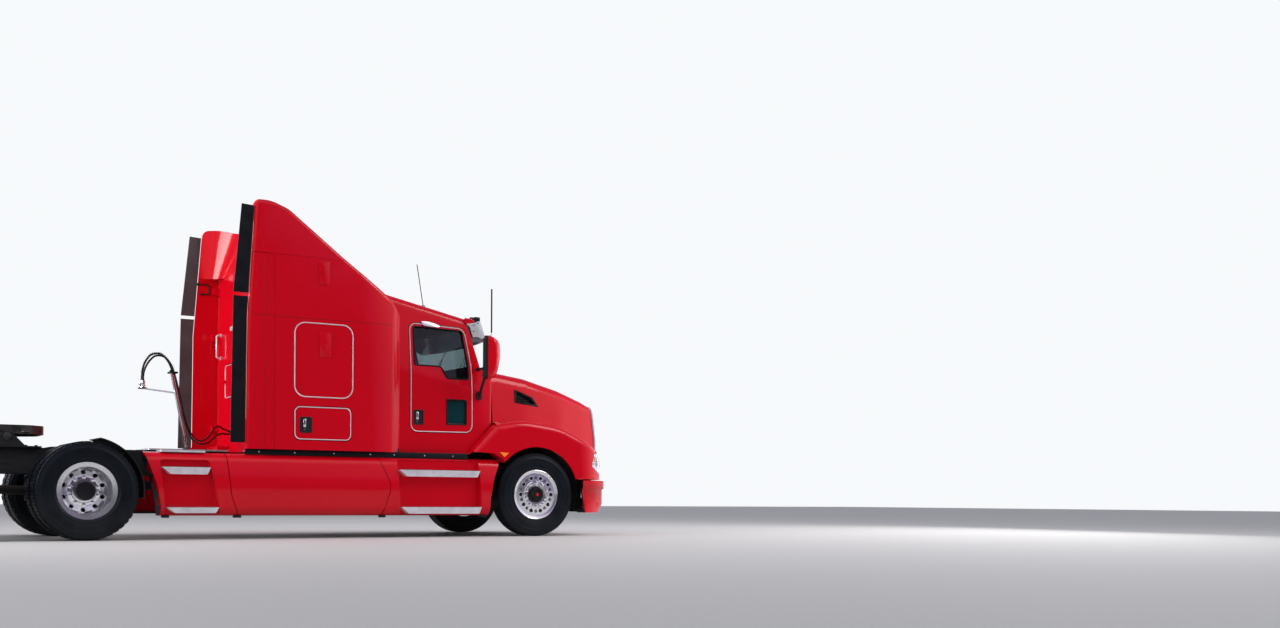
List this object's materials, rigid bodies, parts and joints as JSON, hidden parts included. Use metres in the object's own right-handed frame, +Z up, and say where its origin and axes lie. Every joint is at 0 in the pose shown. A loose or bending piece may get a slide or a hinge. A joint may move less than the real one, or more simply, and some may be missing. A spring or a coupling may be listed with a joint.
{
  "type": "semi truck tractor unit",
  "caption": "Conventional highway tractor with an aerodynamic hood, high-roof sleeper, side fairings, dual drive axles and a fifth wheel coupling.",
  "frame": {"origin": "on the ground, halfway between the bumper's front and the frame's rear end, in the plane of symmetry", "axes": "+X to the front, +Y to the truck's left, +Z up"},
  "size_m": [8.3, 2.8098, 3.7276],
  "materials": {
    "red_paint": "gloss",
    "chassis_paint": "satin",
    "cast_steel": "greased",
    "polished_aluminium": "polished",
    "tread_aluminium": "satin",
    "bright_metal": "polished",
    "radiator_black": "matte",
    "tyre": "matte",
    "glass": "clear",
    "lamp_glass": "clear",
    "black_plastic": "satin",
    "black_rubber": "matte",
    "seat_fabric": "woven",
    "interior_plastic": "satin"
  },
  "bodies": {
    "chassis": {"air_line": "black_rubber", "antennas": "black_plastic", "bumper": "red_paint", "cab_floor": "chassis_paint", "cab_roof": "red_paint", "cab_sides": "red_paint", "cowl": "red_paint", "crossmembers": "chassis_paint", "dashboard": "interior_plastic", "drive_axles": "chassis_paint", "engine": "chassis_paint", "extender_flaps": "black_rubber", "fifth_wheel_mount": "chassis_paint", "frame_rails": "chassis_paint", "front_axle": "chassis_paint", "fuel_tanks": "polished_aluminium", "line_fittings": "bright_metal", "mirror_arms": "black_plastic", "mirror_shells": "red_paint", "mud_guards": "black_plastic", "pogo_stick": "polished_aluminium", "power_line": "black_rubber", "radiator": "radiator_black", "roof_fairing": "red_paint", "seats": "seat_fabric", "side_extenders": "red_paint", "side_fairings": "red_paint", "sleeper_back": "red_paint", "sleeper_roof": "red_paint", "sleeper_sides": "red_paint", "tail_lamps": "chassis_paint", "tread_plates": "tread_aluminium", "visor": "polished_aluminium", "windshield": "glass"},
    "hood": {"hood_shell": "red_paint", "grille": "bright_metal", "headlamps": "lamp_glass"},
    "door_left": {"door_left": "red_paint", "door_glass_left": "glass"},
    "door_right": {"door_right": "red_paint", "door_glass_right": "glass"},
    "luggage_door_left": {"luggage_door_left": "red_paint"},
    "luggage_door_right": {"luggage_door_right": "red_paint"},
    "back_hatch": {"back_hatch": "red_paint"},
    "knuckle_left": {"knuckle_left": "chassis_paint"},
    "knuckle_right": {"knuckle_right": "chassis_paint"},
    "tie_rod": {"tie_rod": "chassis_paint"},
    "fifth_wheel": {"fifth_wheel_plate": "cast_steel"},
    "steer_wheel_left": {"steer_wheel_left": "polished_aluminium", "steer_tyre_left": "tyre"},
    "drive_front_left": {"drive_wheels_front_left": "polished_aluminium", "drive_tyres_front_left": "tyre"},
    "drive_rear_left": {"drive_wheels_rear_left": "polished_aluminium", "drive_tyres_rear_left": "tyre"},
    "steer_wheel_right": {"steer_wheel_right": "polished_aluminium", "steer_tyre_right": "tyre"},
    "drive_front_right": {"drive_wheels_front_right": "polished_aluminium", "drive_tyres_front_right": "tyre"},
    "drive_rear_right": {"drive_wheels_rear_right": "polished_aluminium", "drive_tyres_rear_right": "tyre"}
  },
  "joints": [
    {"name": "hood_tilt", "type": "hinge", "parent": "chassis", "child": "hood", "pos_m": [4.11, 0, 0.716], "axis": [0, 1, 0], "range_deg": [0, 70]},
    {"name": "door_left_swing", "type": "hinge", "parent": "chassis", "child": "door_left", "pos_m": [2.16, 1.03, 1.6], "axis": [0, 0, -1], "range_deg": [0, 70]},
    {"name": "door_right_swing", "type": "hinge", "parent": "chassis", "child": "door_right", "pos_m": [2.16, -1.03, 1.6], "axis": [0, 0, 1], "range_deg": [0, 70]},
    {"name": "luggage_door_left_swing", "type": "hinge", "parent": "chassis", "child": "luggage_door_left", "pos_m": [0.586, 1.175, 1.28], "axis": [0, 0, -1], "range_deg": [0, 90]},
    {"name": "luggage_door_right_swing", "type": "hinge", "parent": "chassis", "child": "luggage_door_right", "pos_m": [0.586, -1.175, 1.28], "axis": [0, 0, 1], "range_deg": [0, 90]},
    {"name": "back_hatch_swing", "type": "hinge", "parent": "chassis", "child": "back_hatch", "pos_m": [-0.3, 0.33, 1.86], "axis": [0, 0, 1], "range_deg": [0, 100]},
    {"name": "steer_left", "type": "hinge", "parent": "chassis", "child": "knuckle_left", "pos_m": [2.95, 0.86, 0.51], "axis": [0, 0, 1], "range_deg": [-35, 35]},
    {"name": "steer_right", "type": "hinge", "parent": "chassis", "child": "knuckle_right", "pos_m": [2.95, -0.86, 0.51], "axis": [0, 0, 1], "range_deg": [-35, 35]},
    {"name": "tie_rod_swing", "type": "hinge", "parent": "knuckle_left", "child": "tie_rod", "pos_m": [2.705, 0.86, 0.372], "axis": [0, 0, 1], "range_deg": [-35, 35]},
    {"name": "fifth_wheel_tilt", "type": "hinge", "parent": "chassis", "child": "fifth_wheel", "pos_m": [-2.89, 0, 1.075], "axis": [0, 1, 0], "range_deg": [-12, 12]},
    {"name": "steer_wheel_left_spin", "type": "hinge", "parent": "knuckle_left", "child": "steer_wheel_left", "pos_m": [2.95, 1.045, 0.51], "axis": [0, 1, 0], "continuous": true},
    {"name": "drive_front_left_spin", "type": "hinge", "parent": "chassis", "child": "drive_front_left", "pos_m": [-2.23, 0.92, 0.51], "axis": [0, 1, 0], "continuous": true},
    {"name": "drive_rear_left_spin", "type": "hinge", "parent": "chassis", "child": "drive_rear_left", "pos_m": [-3.55, 0.92, 0.51], "axis": [0, 1, 0], "continuous": true},
    {"name": "steer_wheel_right_spin", "type": "hinge", "parent": "knuckle_right", "child": "steer_wheel_right", "pos_m": [2.95, -1.045, 0.51], "axis": [0, 1, 0], "continuous": true},
    {"name": "drive_front_right_spin", "type": "hinge", "parent": "chassis", "child": "drive_front_right", "pos_m": [-2.23, -0.92, 0.51], "axis": [0, 1, 0], "continuous": true},
    {"name": "drive_rear_right_spin", "type": "hinge", "parent": "chassis", "child": "drive_rear_right", "pos_m": [-3.55, -0.92, 0.51], "axis": [0, 1, 0], "continuous": true}
  ],
  "couplings": [
    {"joint": "steer_right", "follows": "steer_left", "ratio": 1},
    {"joint": "tie_rod_swing", "follows": "steer_left", "ratio": -1}
  ]
}
